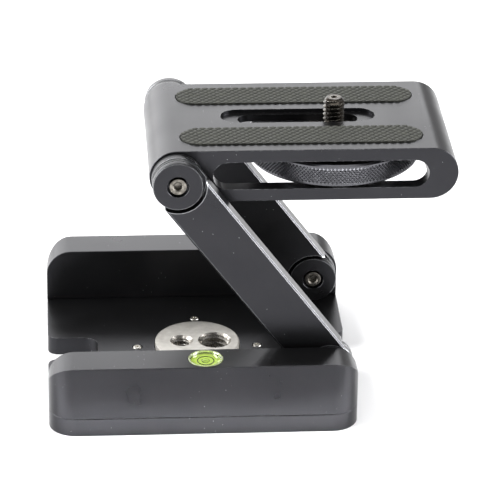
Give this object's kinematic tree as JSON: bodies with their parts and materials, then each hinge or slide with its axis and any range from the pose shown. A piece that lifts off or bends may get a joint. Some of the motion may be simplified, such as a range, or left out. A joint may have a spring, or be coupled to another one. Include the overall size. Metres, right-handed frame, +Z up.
{
  "type": "flexible tilt head",
  "caption": "Folding tripod head: paired arms hinge up from a channel-shaped base and carry a slotted camera plate with a knurled wheel, a sliding stud and a bubble level.",
  "frame": {"origin": "middle of the base's underside, which is the seat on the tripod", "axes": "+X along the base's length towards the lower hinges; +Z up, out of the camera plate's top in the stored pose"},
  "size_m": [0.121, 0.09, 0.0887],
  "materials": {
    "anodised": "black bead-blasted anodising with bright bevels",
    "knurled": "black anodising over a diamond knurl",
    "steel": "turned and lightly brushed",
    "dark_steel": "machined, dark in the sockets and thread roots",
    "rubber": "charcoal, staggered grip studs",
    "polymer": "plain friction washer",
    "acrylic": "clear polished",
    "fluid": "tinted level fluid"
  },
  "bodies": {
    "base": {"base_plate": "anodised", "front_rail": "anodised", "rear_rail": "anodised", "tripod_insert": "steel", "insert_screw_1": "steel", "insert_screw_2": "steel", "insert_screw_3": "steel", "insert_screw_4": "steel", "rail_screw_1": "dark_steel", "rail_screw_2": "dark_steel", "rail_screw_3": "dark_steel", "rail_screw_4": "dark_steel", "rail_screw_5": "dark_steel", "rail_screw_6": "dark_steel", "level_cup": "acrylic", "level_fluid": "fluid", "level_lens": "acrylic", "lower_front_hinge_disc": "anodised", "lower_front_hinge_washer": "polymer", "lower_front_pivot_screw": "dark_steel", "lower_rear_hinge_disc": "anodised", "lower_rear_hinge_washer": "polymer", "lower_rear_pivot_screw": "dark_steel"},
    "arms": {"front_arm": "anodised", "rear_arm": "anodised"},
    "plate": {"camera_plate": "anodised", "front_grip_pad": "rubber", "rear_grip_pad": "rubber", "upper_front_hinge_disc": "anodised", "upper_front_hinge_washer": "polymer", "upper_front_pivot_screw": "dark_steel", "upper_rear_hinge_disc": "anodised", "upper_rear_hinge_washer": "polymer", "upper_rear_pivot_screw": "dark_steel"},
    "carriage": {"clamp_washer": "steel"},
    "thumbscrew": {"knurled_wheel": "knurled", "camera_stud": "dark_steel"}
  },
  "joints": [
    {"name": "arms_tilt", "type": "hinge", "parent": "base", "child": "arms", "pos_m": [0.0379, 0, 0.0146], "axis": [0, 1, 0], "range_deg": [-52.9, 67.1]},
    {"name": "plate_tilt", "type": "hinge", "parent": "arms", "child": "plate", "pos_m": [-0.00758, 0, 0.07474], "axis": [0, 1, 0], "range_deg": [-127, 52.9]},
    {"name": "stud_slide", "type": "slide", "parent": "plate", "child": "carriage", "axis": [1, 0, 0], "range_m": [-0.0188, 0.0011]},
    {"name": "wheel_spin", "type": "hinge", "parent": "carriage", "child": "thumbscrew", "pos_m": [0.04026, 0, 0.07474], "axis": [0, 0, 1], "continuous": true}
  ]
}
